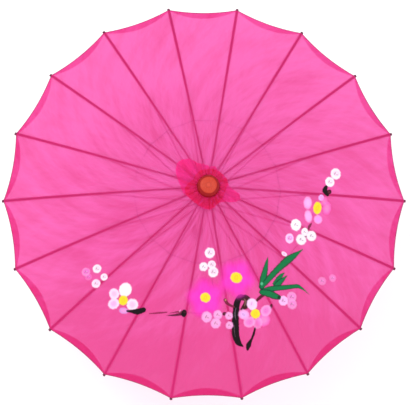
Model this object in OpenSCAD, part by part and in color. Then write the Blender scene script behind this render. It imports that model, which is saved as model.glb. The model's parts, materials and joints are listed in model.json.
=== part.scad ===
// Folding parasol: a cloth canopy on split-bamboo ribs, opened and closed by a runner on a straight shaft.
// Millimetres, +Z up, origin on the shaft's axis where the grip's round ends and its dome begins. Drawn open.
// Each rib and its strut are two equal links between the head and the runner, so the rib turns by an
// angle, the strut turns back by twice that angle, and the runner stays upright on the shaft.

/* [Canopy] */
// Number of ribs, and of struts and cloth gores
rib_count = 18; // [12:1:20]
// Radius of the circle through the rib tips
tip_radius = 410; // [320:1:500]
// Slope of the open ribs below the horizontal, in degrees
open_slope = 19.5; // [15:0.5:25]
// Slope of the folded ribs below the horizontal, in degrees
folded_slope = 87.5; // [86:0.25:88]
// How far the outer part of a rib bows down at its tip
tip_drop = 9; // [0:0.5:14]
// Thickness of the cloth solid
cloth_t = 0.4; // [0.3:0.1:1]
// Sag of the cloth between two ribs at the rim
cloth_sag = 4; // [0:0.5:8]
// How far the rim curves inwards between two ribs
rim_scallop = 6.5; // [0:0.5:12]
// Bare end of each rib beyond the cloth
rib_bare_end = 5; // [3:0.5:10]

/* [Ribs and struts] */
// Distance between the two pivots of a rib, and of a strut
link_len = 213; // [170:1:250]
// Width of a rib from its joint outwards
rib_w = 4.4; // [4:0.1:6]
// Width of a rib at the head, and of a strut
link_end_w = 2.8; // [2.2:0.1:3]
// Depth of a rib at its joint
rib_depth = 4.2; // [3.6:0.1:6]
// Depth of a rib at its tip
rib_tip_depth = 2.4; // [2:0.1:4]
// Depth of a strut
strut_depth = 3.6; // [3:0.1:5]
// Thickness of the strut's tongue in the rib's fork
tongue_w = 1.5; // [1.2:0.1:1.8]
// Radius of the thread that is the pivot of each joint
thread_r = 0.55; // [0.4:0.05:0.7]

/* [Shaft and handle] */
// Radius of the shaft
shaft_r = 5; // [4:0.1:6]
// Radius of the handle's grip
grip_r = 10; // [8:0.5:14]
// Depth of the dome at the grip's lower end
dome_h = 5; // [2:0.5:8]
// Length of the handle
handle_len = 90; // [80:1:140]
// Depth of the shaft in the handle
shaft_seat = 60; // [30:1:75]

/* [Head and runner] */
// Radius of the circle of hinges in the head and in the runner
hinge_r = 18; // [17:0.5:24]
// Outer radius of the slotted crowns
crown_r = 22; // [21:0.5:28]
// Radius of the tying neck under the head's cap
neck_r = 15; // [12:0.5:18]
// Largest radius of the head's cap
cap_r = 22.7; // [20:0.1:28]
// Radius of the cap's flat top
cap_top_r = 14.5; // [10:0.5:18]
// Height of the cap
cap_h = 13; // [10:0.5:20]
// Length of the runner below its hinges
runner_tail = 24; // [18:1:40]
// Radius of the ring wires
wire_r = 0.6; // [0.5:0.05:0.8]

/* [Clearances] */
// Gap between the runner and the shaft
slide_gap = 0.3; // [0.2:0.05:0.5]
// Gap at each side of a link in its slot
slot_gap = 0.2; // [0.15:0.05:0.4]
// Gap round a pivot in its hole
pivot_gap = 0.1; // [0.08:0.02:0.2]
// Gap between neighbouring cloth gores
gore_gap = 0.3; // [0.2:0.05:0.6]
// Gap between pieces that are glued or seated
seat_gap = 0.05; // [0.02:0.01:0.1]

/* [Hidden] */
$fn = 48;
function two(i) = str(i < 10 ? "0" : "", i);
function names(word) = [for (i = [1 : rib_count]) str(word, "_", two(i))];

cut = 1;                                  // how far a cutting shape runs past what it cuts
sector = 360 / rib_count;                 // angle from one rib to the next
half_sector = sector / 2;
eye_r = 2.4;                              // round ends of ribs and struts
tongue_r = 2.6;                           // round end of the strut's tongue
lug_r = 3.2;                              // round lug under the rib at its joint
lug_half = 8;                             // half length of that lug
tongue_len = 11;                          // length of the strut's thin tongue
fork_top = 3.3;                           // top of the fork above the pivot
rib_top = 5;                              // top edge of a rib above its pivot line
hub_depth = 3.8;                          // depth of a rib at the head
slot_w = link_end_w + 2 * slot_gap;
slot_in_r = hinge_r - strut_depth - 1.9;  // inner wall of the slots
slot_top = rib_top + 1.5;                 // roof of the head's slots above the hinges
crown_up = slot_top + 1.5;                // top of the head's crown above the hinges
crown_down = 9;                           // bottom of the head's crown below the hinges
runner_up = 8;                            // top of the runner above its hinges
slot_floor = eye_r + 1;                   // floor of the runner's slots below the hinges
neck_len = 3.4;
cap_base = crown_up + neck_len + 1.1;     // underside of the cap's widest part above the hinges
head_top = cap_base + cap_h;
groove_half = wire_r + 0.2;

// Points of an elliptic arc round centre c with radii r, in steps from one angle to another
function arc(c, r, from, to, steps) =
    [for (k = [0 : steps]) let (a = from + (to - from) * k / steps) [c[0] + r[0] * cos(a), c[1] + r[1] * sin(a)]];

// Heights of the hinge circles above the grip's lower end
runner_drop = 2 * link_len * sin(open_slope);
runner_folded_drop = 2 * link_len * sin(folded_slope);
handle_clear = 2;
head_z = handle_len + handle_clear + runner_tail + runner_folded_drop;
runner_z = head_z - runner_drop;
shaft_top = head_z + head_top + 0.3;

// Length of a rib from its hinge to its tip, which lies on the tip circle
tip_v = rib_top - tip_drop - rib_tip_depth / 2;
rib_len = (tip_radius - hinge_r - tip_v * sin(open_slope)) / cos(open_slope);

// Top and bottom edges of a rib above its pivot line, at distance u from its hinge
function outer_share(u) = max(0, (u - link_len) / (rib_len - link_len));
function top_v(u) = rib_top - tip_drop * pow(outer_share(u), 2);
function depth_at(u) = u < link_len
    ? hub_depth + (rib_depth - hub_depth) * u / link_len
    : rib_depth + (rib_tip_depth - rib_depth) * outer_share(u);
function bottom_v(u) = top_v(u) - depth_at(u);

// A point of the rib's plane, as [radius, height above the head's hinges]
function rib_point(u, v) = [hinge_r + u * cos(open_slope) + v * sin(open_slope),
                            v * cos(open_slope) - u * sin(open_slope)];

// ---------------------------------------------------------------- placing
module at_rib(i) {
    rotate([0, 0, sector * (i - 1)]) translate([hinge_r, 0, head_z]) rotate([0, open_slope, 0]) children();
}

module at_strut(i) {
    at_rib(i) translate([link_len, 0, 0]) rotate([0, 180 - 2 * open_slope, 0]) rotate([180, 0, 0]) children();
}

// Extrudes a side view, drawn as (along, above), to a width across the link
module side_view(width) {
    rotate([90, 0, 0]) linear_extrude(height = width, center = true) children();
}

module cross_hole(radius, width) {
    rotate([90, 0, 0]) cylinder(r = radius, h = width + 2 * cut, center = true);
}

// ---------------------------------------------------------------- ribs
module rib_side() {
    steps = 10;
    outer = [for (k = [0 : steps]) link_len + (rib_len - 1.2 - link_len) * k / steps];
    root_len = 16;
    polygon(concat(
        [[-1.8, 0.5], [-1.5, rib_top]],
        [for (u = outer) [u, top_v(u)]],
        [[rib_len, (top_v(rib_len) + bottom_v(rib_len)) / 2]],
        [for (k = [steps : -1 : 0]) [outer[k], bottom_v(outer[k])]],
        [[root_len, bottom_v(root_len)], [1, -eye_r + 0.2]]));
    circle(r = eye_r);
    translate([link_len, 0]) circle(r = lug_r);
    polygon([[link_len - lug_half, bottom_v(link_len - lug_half) + 0.5],
             [link_len - lug_r * 0.7, -lug_r * 0.7],
             [link_len + lug_r * 0.7, -lug_r * 0.7],
             [link_len + lug_half, bottom_v(link_len + lug_half) + 0.5]]);
}

module rib_plan() {
    taper_from = 10;
    taper_to = link_len - lug_half;
    polygon([[-eye_r - cut, -link_end_w / 2], [taper_from, -link_end_w / 2],
             [taper_to, -rib_w / 2], [rib_len - 3, -rib_w / 2], [rib_len + cut, -rib_w / 4],
             [rib_len + cut, rib_w / 4], [rib_len - 3, rib_w / 2], [taper_to, rib_w / 2],
             [taper_from, link_end_w / 2], [-eye_r - cut, link_end_w / 2]]);
}

module rib(i) {
    fork_w = tongue_w + 2 * slot_gap;
    color("burlywood") at_rib(i) difference() {
        intersection() {
            side_view(rib_w) rib_side();
            translate([0, 0, -15]) linear_extrude(height = 30) rib_plan();
        }
        cross_hole(wire_r + pivot_gap, link_end_w);
        translate([link_len, 0, 0]) cross_hole(thread_r + seat_gap, rib_w);
        translate([link_len - lug_half - cut, -fork_w / 2, -lug_r - cut])
            cube([2 * (lug_half + cut), fork_w, lug_r + cut + fork_top]);
    }
    // the pivot thread inside the joint
    color("crimson") at_rib(i) translate([link_len, 0, 0])
        rotate([90, 0, 0]) cylinder(r = thread_r, h = rib_w, center = true);
}

// ---------------------------------------------------------------- struts
module strut_side() {
    polygon([[0, -tongue_r + 0.3], [tongue_len - 1, 0], [link_len - 9, 0], [link_len - 1, -eye_r + 0.2],
             [link_len + 1.2, 1.8], [link_len - 4, strut_depth], [5, strut_depth], [0, tongue_r - 0.1]]);
    circle(r = tongue_r);
    translate([link_len, 0]) circle(r = eye_r);
}

module strut_plan() {
    polygon([[-tongue_r - cut, -tongue_w / 2], [tongue_len, -tongue_w / 2], [tongue_len + 3, -link_end_w / 2],
             [link_len + eye_r + cut, -link_end_w / 2], [link_len + eye_r + cut, link_end_w / 2],
             [tongue_len + 3, link_end_w / 2], [tongue_len, tongue_w / 2], [-tongue_r - cut, tongue_w / 2]]);
}

module strut(i) {
    color("wheat") at_strut(i) difference() {
        intersection() {
            side_view(link_end_w) strut_side();
            translate([0, 0, -10]) linear_extrude(height = 20) strut_plan();
        }
        cross_hole(thread_r + pivot_gap, tongue_w);
        translate([link_len, 0, 0]) cross_hole(wire_r + pivot_gap, link_end_w);
    }
}

// ---------------------------------------------------------------- cloth
gore_rows = 7;
gore_columns = 9;
gore_from = 5.8;                          // where the cloth starts along the rib
cloth_lift = 0.55;                        // height of its lower face over the middle of a rib
gore_to = rib_len - rib_bare_end;

// Share of the sag and of the scallop at t, from -1 to 1 across the gore
function slack(t) = 1 - pow(1 - abs(t), 2);

// A point of the cloth: row share s along the rib, t across the gore, lifted by h
function gore_point(s, t, h) =
    let (u = gore_from + (gore_to - rim_scallop * slack(t) - gore_from) * s,
         p = rib_point(u, top_v(u) + cloth_lift),
         mid_x = p[0] * pow(cos(half_sector), 2),
         mid_y = (mid_x * sin(half_sector) - gore_gap / 2) / cos(half_sector))
    [p[0] + (mid_x - p[0]) * abs(t), mid_y * t, head_z + p[1] - cloth_sag * s * slack(t) + h];

// Two triangles for each cell of a grid of points; flip turns them over
function cell(a, b, c, d, flip) = flip ? [[a, c, b], [b, c, d]] : [[a, b, c], [b, d, c]];

module gore(i) {
    n = gore_rows * gore_columns;
    points = [for (h = [0, cloth_t], j = [0 : gore_rows - 1], k = [0 : gore_columns - 1])
        gore_point(j / (gore_rows - 1), 2 * k / (gore_columns - 1) - 1, h)];
    function at(h, j, k) = h * n + j * gore_columns + k;
    last_j = gore_rows - 1;
    last_k = gore_columns - 1;
    faces = concat(
        [for (j = [0 : last_j - 1], k = [0 : last_k - 1])
            each cell(at(0, j, k), at(0, j, k + 1), at(0, j + 1, k), at(0, j + 1, k + 1), true)],
        [for (j = [0 : last_j - 1], k = [0 : last_k - 1])
            each cell(at(1, j, k), at(1, j, k + 1), at(1, j + 1, k), at(1, j + 1, k + 1), false)],
        [for (j = [0 : last_j - 1])
            each cell(at(0, j, 0), at(1, j, 0), at(0, j + 1, 0), at(1, j + 1, 0), false)],
        [for (j = [0 : last_j - 1])
            each cell(at(0, j, last_k), at(1, j, last_k), at(0, j + 1, last_k), at(1, j + 1, last_k), true)],
        [for (k = [0 : last_k - 1])
            each cell(at(0, 0, k), at(1, 0, k), at(0, 0, k + 1), at(1, 0, k + 1), true)],
        [for (k = [0 : last_k - 1])
            each cell(at(0, last_j, k), at(1, last_j, k), at(0, last_j, k + 1), at(1, last_j, k + 1), false)]);
    color("hotpink") rotate([0, 0, sector * (i - 1)]) polyhedron(points = points, faces = faces);
}

// Reach of the loose scrap of cloth round the head, every 30 degrees from +X
scrap_reach = [44, 36, 36, 40, 66, 88, 66, 58, 52, 50, 46, 72];
scrap_t = 0.8;
scrap_lift = cloth_lift + cloth_t + 0.6;  // height of its lower face over the ribs
scrap_steps = 36;
function reach(k) =
    let (x = k * len(scrap_reach) / scrap_steps, a = floor(x))
    scrap_reach[a % len(scrap_reach)] * (1 - x + a) + scrap_reach[(a + 1) % len(scrap_reach)] * (x - a);

// Height of the top of the ribs above the head's hinges at a radius
function roof(r) = let (u = (r - hinge_r - rib_top * sin(open_slope)) / cos(open_slope))
    rib_point(u, top_v(u))[1];

// The scrap's profile from the neck, over the crown's shoulder and out over the ribs
function scrap_profile(k) = let (r_out = reach(k)) [
    [neck_r + 0.5, crown_up + 1.2],
    [crown_r + 0.3, crown_up + 0.9],
    [crown_r + 2.2, roof(crown_r + 2.2) + scrap_lift],
    [(crown_r + r_out) / 2, roof((crown_r + r_out) / 2) + scrap_lift],
    [r_out, roof(r_out) + scrap_lift]];

module head_cloth() {
    rings = 5;
    n = rings * scrap_steps;
    points = [for (h = [0, scrap_t], j = [0 : rings - 1], k = [0 : scrap_steps - 1])
        let (p = scrap_profile(k)[j], a = 360 * k / scrap_steps)
        [p[0] * cos(a), p[0] * sin(a), head_z + p[1] + h]];
    function at(h, j, k) = h * n + j * scrap_steps + k % scrap_steps;
    around = [0 : scrap_steps - 1];
    faces = concat(
        [for (j = [0 : rings - 2], k = around)
            each cell(at(0, j, k), at(0, j, k + 1), at(0, j + 1, k), at(0, j + 1, k + 1), true)],
        [for (j = [0 : rings - 2], k = around)
            each cell(at(1, j, k), at(1, j, k + 1), at(1, j + 1, k), at(1, j + 1, k + 1), false)],
        [for (k = around) each cell(at(0, 0, k), at(1, 0, k), at(0, 0, k + 1), at(1, 0, k + 1), true)],
        [for (k = around)
            each cell(at(0, rings - 1, k), at(1, rings - 1, k), at(0, rings - 1, k + 1), at(1, rings - 1, k + 1),
                      false)]);
    color("deeppink") polyhedron(points = points, faces = faces);
}

// ---------------------------------------------------------------- head and runner
module slots(from_z, to_z) {
    for (i = [0 : rib_count - 1])
        rotate([0, 0, sector * i])
            translate([slot_in_r, -slot_w / 2, from_z]) cube([crown_r, slot_w, to_z - from_z]);
}

module wire_groove() {
    rotate_extrude() translate([hinge_r - groove_half, -groove_half])
        square([crown_r - hinge_r + groove_half + cut, 2 * groove_half]);
}

module ring_wire() {
    color("silver") rotate_extrude() translate([hinge_r, 0]) circle(r = wire_r, $fn = 24);
}

module head() {
    bore = shaft_r + seat_gap;
    rim_h = 1.4;                          // rounding under the cap's widest part
    color("orangered") translate([0, 0, head_z]) difference() {
        rotate_extrude() polygon(concat(
            [[bore, -crown_down], [crown_r - 1, -crown_down], [crown_r, -crown_down + 1],
             [crown_r, crown_up - 0.6], [crown_r - 0.6, crown_up], [neck_r, crown_up + 0.6],
             [neck_r, crown_up + neck_len]],
            arc([cap_r - rim_h, cap_base + 0.3], [rim_h, rim_h], -70, 0, 4),
            arc([cap_top_r, cap_base + 0.3], [cap_r - cap_top_r, cap_h - 1], 8, 78, 8),
            [[cap_top_r, head_top - 0.3], [cap_top_r - 0.5, head_top], [bore, head_top]]));
        slots(-crown_down - cut, slot_top);
        wire_groove();
    }
    translate([0, 0, head_z]) ring_wire();
}

module runner() {
    bore = shaft_r + slide_gap;
    waist_r = 11.5;
    color("burlywood") translate([0, 0, runner_z]) difference() {
        rotate_extrude() polygon([
            [bore, -runner_tail], [waist_r + 0.8, -runner_tail], [waist_r + 2, -runner_tail + 1.5],
            [waist_r + 2, -runner_tail + 4], [waist_r, -runner_tail + 7], [waist_r, -runner_tail + 11],
            [waist_r + 3, -slot_floor - 5.5], [crown_r - 1, -slot_floor - 3.5], [crown_r, -slot_floor - 2.5],
            [crown_r, runner_up - 1], [crown_r - 1, runner_up], [bore, runner_up]]);
        slots(-slot_floor, runner_up + cut);
        wire_groove();
    }
    translate([0, 0, runner_z]) ring_wire();
}

// ---------------------------------------------------------------- shaft, catch and handle
catch_w = 1.8;                            // width of the catch's spring
catch_t = 1.4;                            // its thickness
catch_len = 24;                           // from its hooked end to the arc of its nose
catch_r = 0.8;                            // radius of its hooked end
catch_nose = shaft_r + 4;                 // reach of its nose from the shaft's axis
function catch_arc(x) = sqrt(catch_len * catch_len - x * x);    // its top follows an arc about its pivot
catch_z = runner_z - runner_tail - slide_gap - catch_arc(shaft_r + slide_gap);   // height of the hooked end
catch_slot_w = catch_w + 2 * slot_gap;

module shaft() {
    color("peru") difference() {
        translate([0, 0, handle_len - shaft_seat])
            cylinder(r = shaft_r, h = shaft_top - handle_len + shaft_seat);
        translate([-1.8, -catch_slot_w / 2, catch_z - 2])
            cube([shaft_r + 1.8 + cut, catch_slot_w, catch_len + 4]);
        translate([0, 0, catch_z]) cross_hole(catch_r + pivot_gap, 2 * shaft_r);
    }
}

module catch() {
    color("silver") translate([0, 0, catch_z]) {
        rotate([90, 0, 0]) cylinder(r = catch_r, h = 2 * shaft_r - 1, center = true);
        side_view(catch_w) polygon([
            [-catch_t / 2, -0.6], [catch_t / 2, -0.6], [shaft_r - 0.4, catch_len - 7],
            [catch_nose, catch_arc(catch_nose) - 2], [catch_nose, catch_arc(catch_nose)],
            for (x = [catch_nose - 0.9 : -0.9 : shaft_r - 1.5]) [x, catch_arc(x)],
            [shaft_r - 2.1, catch_len - 6]]);
    }
}

module handle() {
    bore = shaft_r + seat_gap;
    grip_len = handle_len - 24;
    ring_r = 3.2;
    color("sienna") difference() {
        rotate_extrude() polygon(concat(
            [[0, -dome_h]],
            arc([0, 0], [grip_r, dome_h], -75, 0, 5),
            [[grip_r, grip_len]],
            arc([grip_r - 0.6, grip_len + ring_r], [ring_r, ring_r], -65, 70, 8),
            arc([grip_r, grip_len + 24], [grip_r - shaft_r - 2, 13.5], 236, 180, 6),
            [[0, handle_len]]));
        translate([0, 0, handle_len - shaft_seat - seat_gap]) cylinder(r = bore, h = shaft_seat + cut);
    }
}

// ---------------------------------------------------------------- what is drawn
shaft();
handle();
head();
head_cloth();
runner();
catch();
for (i = [1 : rib_count]) {
    rib(i);
    strut(i);
    gore(i);
}
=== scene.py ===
"""A folding parasol: see-through silk on split-bamboo ribs, painted with blossom branches."""

import json
import math

import bpy
import numpy as np
from mathutils import Matrix, Vector


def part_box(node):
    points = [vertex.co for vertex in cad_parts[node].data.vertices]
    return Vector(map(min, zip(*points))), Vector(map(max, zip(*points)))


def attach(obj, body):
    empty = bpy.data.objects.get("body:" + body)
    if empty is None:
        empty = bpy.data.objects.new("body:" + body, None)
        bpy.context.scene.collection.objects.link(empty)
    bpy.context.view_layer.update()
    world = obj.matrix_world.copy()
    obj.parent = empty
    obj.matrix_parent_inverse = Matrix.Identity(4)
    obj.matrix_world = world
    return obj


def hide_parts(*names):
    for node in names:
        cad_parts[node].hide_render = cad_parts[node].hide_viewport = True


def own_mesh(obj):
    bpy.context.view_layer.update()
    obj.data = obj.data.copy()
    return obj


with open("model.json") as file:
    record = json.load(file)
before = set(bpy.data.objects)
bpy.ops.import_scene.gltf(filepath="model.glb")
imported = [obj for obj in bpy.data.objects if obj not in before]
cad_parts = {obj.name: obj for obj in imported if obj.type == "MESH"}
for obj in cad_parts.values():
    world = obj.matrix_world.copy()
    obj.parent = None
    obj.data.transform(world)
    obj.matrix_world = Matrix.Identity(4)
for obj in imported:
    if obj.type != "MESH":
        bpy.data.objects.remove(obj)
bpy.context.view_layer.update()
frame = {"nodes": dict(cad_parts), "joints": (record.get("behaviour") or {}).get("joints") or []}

# ---------------------------------------------------------------- sizes, in metres

MM = 0.001
JOINTS = {joint["name"]: joint for joint in frame["joints"]}
HINGE = Vector(JOINTS["fold_01"]["pos_m"])  # the first rib's hinge in the head
KNEE = Vector(JOINTS["strut_turn_01"]["pos_m"])  # where its strut joins it
RUNNER_HINGE = Vector(JOINTS["runner_turn"]["pos_m"])
RIBS = sum(name.startswith("fold_") for name in JOINTS)
SECTOR = math.tau / RIBS
HALF_SECTOR = SECTOR / 2
LINK = (KNEE - HINGE).length
SLOPE = math.atan2(HINGE.z - KNEE.z, KNEE.x - HINGE.x)
COS, SIN = math.cos(SLOPE), math.sin(SLOPE)

RIB_TOP = 5 * MM  # top edge of a rib over its pivot line
RIB_TIP_DEPTH = 2.4 * MM
TIP_DROP = 9 * MM  # how far a rib's tip bows down
TIP_RADIUS = 410 * MM
TIP_LIFT = RIB_TOP - TIP_DROP - RIB_TIP_DEPTH / 2
RIB_LENGTH = (TIP_RADIUS - HINGE.x - TIP_LIFT * SIN) / COS
CLOTH_LIFT = 0.75 * MM  # height of the cloth over the ribs
CLOTH_FROM = 5.8 * MM
CLOTH_TO = RIB_LENGTH - 5 * MM
CLOTH_SAG = 4 * MM
RIM_SCALLOP = 6.5 * MM
HEM_AT_RIB = 2 * MM
HEM_WIDTH = 12.5 * MM
CROWN_UP = 8 * MM  # top of the head's crown over its hinges
NECK_LENGTH = 3.4 * MM
CAP_HEIGHT = 13 * MM
WIRE_RADIUS = 0.6 * MM

PINK = (0.72, 0.085, 0.35)  # the silk where it is palest
DEEP_PINK = (0.58, 0.028, 0.175)


def azimuth(number):
    """The direction of rib number 1, 2, 3 and so on, in radians from +X."""
    return SECTOR * (number - 1)


def rib_point(along, above):
    """A place in the first rib's plane: its distance from the hinge and its height over the pivot line."""
    return Vector((HINGE.x + along * COS + above * SIN, 0, HINGE.z + above * COS - along * SIN))


def rib_top(along):
    share = max(0.0, (along - LINK) / (RIB_LENGTH - LINK))
    return RIB_TOP - TIP_DROP * share**2


RING_ALONG = 136 * MM  # where the inner thread crosses a rib
RING_REACH = rib_point(RING_ALONG, 0).x * math.cos(HALF_SECTOR)  # its distance from the axis between ribs


# ---------------------------------------------------------------- nodes written as sums


class Wire:
    """A node's output. Sums and products of wires and numbers add Math nodes to its tree."""

    def __init__(self, nodes, socket):
        self.nodes = nodes
        self.socket = socket

    def sum_with(self, operation, *values):
        return self.nodes.add("ShaderNodeMath", {"operation": operation}, list(values))

    def __add__(self, other):
        return self.sum_with("ADD", self, other)

    def __radd__(self, other):
        return self.sum_with("ADD", other, self)

    def __sub__(self, other):
        return self.sum_with("SUBTRACT", self, other)

    def __rsub__(self, other):
        return self.sum_with("SUBTRACT", other, self)

    def __mul__(self, other):
        return self.sum_with("MULTIPLY", self, other)

    def __rmul__(self, other):
        return self.sum_with("MULTIPLY", other, self)

    def __truediv__(self, other):
        return self.sum_with("DIVIDE", self, other)

    def __pow__(self, other):
        return self.sum_with("POWER", self, other)

    def __neg__(self):
        return self.sum_with("MULTIPLY", self, -1.0)

    def __abs__(self):
        return self.sum_with("ABSOLUTE", self)

    def sin(self):
        return self.sum_with("SINE", self)

    def cos(self):
        return self.sum_with("COSINE", self)

    def at_least(self, value):
        return self.sum_with("MAXIMUM", self, value)

    def at_most(self, value):
        return self.sum_with("MINIMUM", self, value)

    def share(self):
        """Kept from 0 to 1."""
        return self.at_least(0.0).at_most(1.0)

    def angle_of(self, across):
        return self.sum_with("ARCTAN2", self, across)

    def rounded(self):
        return self.sum_with("ROUND", self)

    def step(self, low, high):
        """0 below low, 1 above high and smooth between them; the other way round where low is the larger."""
        settings = {"interpolation_type": "SMOOTHSTEP"}
        inputs = {"Value": self, "From Min": low, "From Max": high, "To Min": 0.0, "To Max": 1.0}
        if low > high:
            inputs.update({"From Min": high, "From Max": low, "To Min": 1.0, "To Max": 0.0})
        return self.nodes.add("ShaderNodeMapRange", settings, inputs)


class Nodes:
    """Adds nodes to one tree, each by its type, its settings and the values or wires of its sockets."""

    def __init__(self, tree):
        self.tree = tree

    def add(self, kind, settings=None, inputs=None, out=0):
        node = self.tree.nodes.new(kind)
        for name, value in (settings or {}).items():
            if name == "stops":
                self.set_stops(node.color_ramp, value)
            else:
                setattr(node, name, value)
        pairs = enumerate(inputs) if isinstance(inputs, list) else (inputs or {}).items()
        for name, value in pairs:
            socket = node.inputs[name]
            if isinstance(value, Wire):
                self.tree.links.new(value.socket, socket)
            else:
                socket.default_value = value
        if out is None:
            return node
        return Wire(self, node.outputs[out])

    @staticmethod
    def set_stops(ramp, stops):
        while len(ramp.elements) < len(stops):
            ramp.elements.new(1.0)
        for element, (place, colour) in zip(ramp.elements, stops):
            element.position = place
            element.color = (*colour, 1.0)

    def noise(self, vector, scale, detail=2.0, rough=0.5):
        inputs = {"Vector": vector, "Scale": scale, "Detail": detail, "Roughness": rough}
        return self.add("ShaderNodeTexNoise", None, inputs)

    def vector(self, x, y, z):
        return self.add("ShaderNodeCombineXYZ", None, [x, y, z])

    def parts(self, vector):
        node = self.add("ShaderNodeSeparateXYZ", None, [vector], out=None)
        return [Wire(self, output) for output in node.outputs]

    def mix(self, factor, first, second):
        """Mixes two colours."""
        settings = {"data_type": "RGBA", "clamp_factor": True}
        colours = [c if isinstance(c, Wire) else (*c, 1.0) for c in (first, second)]
        return self.add("ShaderNodeMix", settings, {0: factor, 6: colours[0], 7: colours[1]}, out=2)


# ---------------------------------------------------------------- finishes


class Finish:
    """A material: its nodes, the piece's own coordinates and the shader that ends it."""

    def __init__(self, name):
        self.material = bpy.data.materials.new(name)
        self.material.use_nodes = True
        self.material.node_tree.nodes.clear()
        self.nodes = Nodes(self.material.node_tree)
        self.place = self.nodes.add("ShaderNodeTexCoord", None, None, out="Object")
        self.x, self.y, self.z = self.nodes.parts(self.place)

    def radius(self):
        return (self.x * self.x + self.y * self.y) ** 0.5

    def from_rib(self):
        """Distance sideways from the middle of the nearest rib."""
        turns = self.y.angle_of(self.x) / SECTOR
        return (turns - turns.rounded()) * SECTOR * self.radius()

    def bump(self, height, strength, distance):
        inputs = {"Height": height, "Strength": strength, "Distance": distance}
        return self.nodes.add("ShaderNodeBump", None, inputs)

    def surface(self, **sockets):
        """The main shader; its sockets are given in words, such as base_color."""
        inputs = {}
        for name, value in sockets.items():
            label = name.replace("_", " ").title().replace("Ior", "IOR")
            inputs[label] = (*value, 1.0) if isinstance(value, tuple) else value
        return self.nodes.add("ShaderNodeBsdfPrincipled", None, inputs)

    def blend(self, factor, first, second):
        return self.nodes.add("ShaderNodeMixShader", None, [factor, first, second])

    def done(self, shader):
        self.nodes.add("ShaderNodeOutputMaterial", None, {"Surface": shader}, out=None)
        return self.material


def silk(name, dye, deep, body, glue_and_rib_shade=0.0, painted=False):
    """Thin see-through silk. body is how much it hides, glue how strong the line over each rib is: a stained
    line with the painted shade of the rib seen through the silk.
    """
    finish = Finish(name)
    nodes = finish.nodes
    across = nodes.add("ShaderNodeAttribute", {"attribute_name": "across"}, None, out="Fac") * 1000
    along = nodes.add("ShaderNodeAttribute", {"attribute_name": "along"}, None, out="Fac") * 1000
    radius = finish.radius()
    swing = finish.y.angle_of(finish.x)
    clouds = nodes.noise(finish.place, 11.0, 3.0)
    slubs = nodes.noise(nodes.vector(along * 0.03, across * 1.1, 0.0), 1.0, 3.0, 0.6)
    creases = nodes.noise(nodes.vector(swing * 9.0 + radius * 26.0, radius * 9.0, 2.0), 1.0, 3.0, 0.55)
    pulls = nodes.noise(nodes.vector(swing * 16.0 - radius * 12.0, radius * 14.0, 7.0), 1.0, 2.0)
    threads = (along * 7.0).sin() * (across * 7.0).sin() * 0.5 + 0.5
    # Painted shade: low grows towards -y, where the silk is darkened and lets less glow through, as if turned
    # away from the light.
    low = (0.0 - finish.y - 0.14).at_least(0.0)
    fine = nodes.noise(nodes.vector(swing * 40.0 + radius * 50.0, radius * 16.0, 5.0), 1.0, 2.0)
    # Random tone of dye and weave (clouds, slubs), with painted shade along the creases and wrinkles
    # (creases, pulls, fine) and painted shade darkening towards -y.
    tone_and_painted_shade = (clouds - 0.5) * 1.0 + (slubs - 0.5) * 0.6 + (creases - 0.5) * 2.3 + (pulls - 0.5) * 0.8
    tone_and_painted_shade = tone_and_painted_shade + (fine - 0.5) * 0.7 + 0.44 - finish.y * 0.8 + low * 2.0
    colour = nodes.mix(tone_and_painted_shade.share(), dye, deep)
    # Painted shade, deepening the silk towards -y.
    colour = nodes.mix((low * 2.4).at_most(0.6), colour, (0.5, 0.008, 0.1))
    hides = body + (clouds - 0.5) * 0.1 + (slubs - 0.5) * 0.12 + (threads - 0.5) * 0.04
    if glue_and_rib_shade:
        edge = nodes.noise(nodes.vector(along * 0.12, across, 3.0), 1.0, 2.0)
        line = abs(finish.from_rib()) * 1000 + (edge - 0.5) * 1.4
        wide = radius.step(0.05, 0.36) * 1.0 + 1.8
        # A stained line along each rib, darkened with painted shade of the rib seen through the silk; it
        # widens towards the rim.
        under = (line - wide).step(1.0, -0.6) * (radius.step(0.02, 0.3) * 0.45 + 0.55) * glue_and_rib_shade
        colour = nodes.mix(under, colour, (0.64, 0.022, 0.17))
        hides = hides + under * 0.3
        # Painted shadow of the inner thread under the silk: a faint darker line along its ring, broken up by
        # the clouds.
        from_middle = HALF_SECTOR - abs(finish.from_rib()) / radius
        over_ring = abs(radius * from_middle.cos() * 1000 - RING_REACH * 1000)
        painted_ring_shadow = over_ring.step(1.9, 0.2) * clouds.step(0.42, 0.6) * 0.42
        colour = nodes.mix(painted_ring_shadow, colour, (0.4, 0.015, 0.16))
    # Painted light on the folded hem: its silk is coloured a brighter, purer red to make up for the light the
    # top layer keeps from it.
    hem = nodes.add("ShaderNodeAttribute", {"attribute_name": "hem"}, None, out="Fac")
    colour = nodes.mix(hem, colour, (1.0, 0.03, 0.26))
    hides = hides - hem * 0.3
    # Less glow through the silk towards -y is painted shade too.
    through = 0.42 - low * 0.5
    rough = 0.6 + (slubs - 0.5) * 0.2
    if painted:
        dab = nodes.add("ShaderNodeAttribute", {"attribute_name": "paint"}, None, out=None)
        cover = Wire(nodes, dab.outputs["Alpha"])
        colour = nodes.mix(cover, colour, Wire(nodes, dab.outputs["Color"]))
        hides = hides + cover * 0.6
        through = (through - cover * 0.46).at_least(0.0)
        rough = rough + cover * 0.08
    height = threads * 0.05 + slubs * 0.1 + creases * 1.7 + pulls * 0.9 + fine * 0.5
    bump = finish.bump(height, 1.0, 0.0035)
    sockets = {"specular_ior_level": 0.12, "sheen_weight": 0.02, "sheen_roughness": 0.4}
    cloth = finish.surface(base_color=colour, roughness=rough, normal=bump, **sockets)
    glow = nodes.add("ShaderNodeBsdfTranslucent", None, {"Color": (*dye, 1.0)})
    clear = nodes.add("ShaderNodeBsdfTransparent", None, {"Color": (0.95, 0.3, 0.62, 1.0)})
    return finish.done(finish.blend(hides.share(), clear, finish.blend(through, cloth, glow)))


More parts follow.
